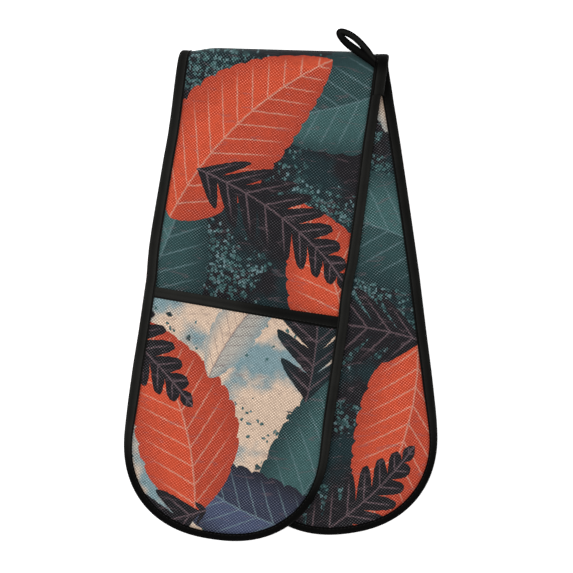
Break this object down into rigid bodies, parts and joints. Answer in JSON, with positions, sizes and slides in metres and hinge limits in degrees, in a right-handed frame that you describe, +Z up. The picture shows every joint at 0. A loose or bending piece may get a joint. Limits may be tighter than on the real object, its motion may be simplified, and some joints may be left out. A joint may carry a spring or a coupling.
{
  "type": "double oven glove",
  "caption": "Padded double oven glove folded in half and lying flat, with a hand pocket on each leg, bound edges and a hanging loop beside the fold.",
  "frame": {"origin": "centre of the bounding box at its bottom, on the surface that the glove lies on", "axes": "+Y from the rounded ends towards the fold, the longest extent; +Z up, through the thickness; +X towards the side with the hanging loop"},
  "size_m": [0.2754, 0.446, 0.0303],
  "materials": {
    "strip_print": "matt printed cotton canvas",
    "pocket_print": "matt printed cotton canvas",
    "lining": "matt plain cotton",
    "wadding": "soft fibre wadding",
    "binding_tape": "matt black bias tape"
  },
  "bodies": {
    "rear_leg": {"rear_outer_panel": "strip_print", "rear_wadding": "wadding", "rear_inner_panel": "strip_print", "rear_edge_binding": "binding_tape", "rear_pocket_seam": "pocket_print", "fold_outer_panel": "strip_print", "fold_wadding": "wadding", "fold_inner_panel": "strip_print", "fold_binding_left": "binding_tape", "fold_binding_right": "binding_tape"},
    "front_leg": {"front_outer_panel": "strip_print", "front_wadding": "wadding", "front_inner_panel": "strip_print", "front_edge_binding": "binding_tape", "front_pocket_seam": "pocket_print", "binding_lap": "binding_tape"},
    "rear_pocket": {"rear_pocket_panel": "pocket_print", "rear_pocket_wadding": "wadding", "rear_pocket_lining": "lining", "rear_pocket_binding": "binding_tape"},
    "front_pocket": {"front_pocket_panel": "pocket_print", "front_pocket_wadding": "wadding", "front_pocket_lining": "lining", "front_pocket_binding": "binding_tape"},
    "hanging_loop": {"hanging_loop": "binding_tape"}
  },
  "joints": [
    {"name": "middle_fold", "type": "hinge", "parent": "rear_leg", "child": "front_leg", "pos_m": [0, 0.19185, 0.0137], "axis": [-1, 0, 0], "range_deg": [0, 178], "deforming": ["fold_outer_panel", "fold_wadding", "fold_inner_panel", "fold_binding_left", "fold_binding_right"]},
    {"name": "front_pocket_mouth", "type": "hinge", "parent": "front_leg", "child": "front_pocket", "pos_m": [-0.0586, -0.21216, 0.021], "axis": [0.9904, -0.1383, 0], "range_deg": [0, 15]},
    {"name": "rear_pocket_mouth", "type": "hinge", "parent": "rear_leg", "child": "rear_pocket", "pos_m": [0.0586, -0.2082, 0.0064], "axis": [-0.9904, -0.1383, 0], "range_deg": [0, 15]},
    {"name": "loop_swing", "type": "hinge", "parent": "front_leg", "child": "hanging_loop", "pos_m": [0.07666, 0.19185, 0.0293], "axis": [0.1383, 0.9904, 0], "range_deg": [0, 170]}
  ]
}
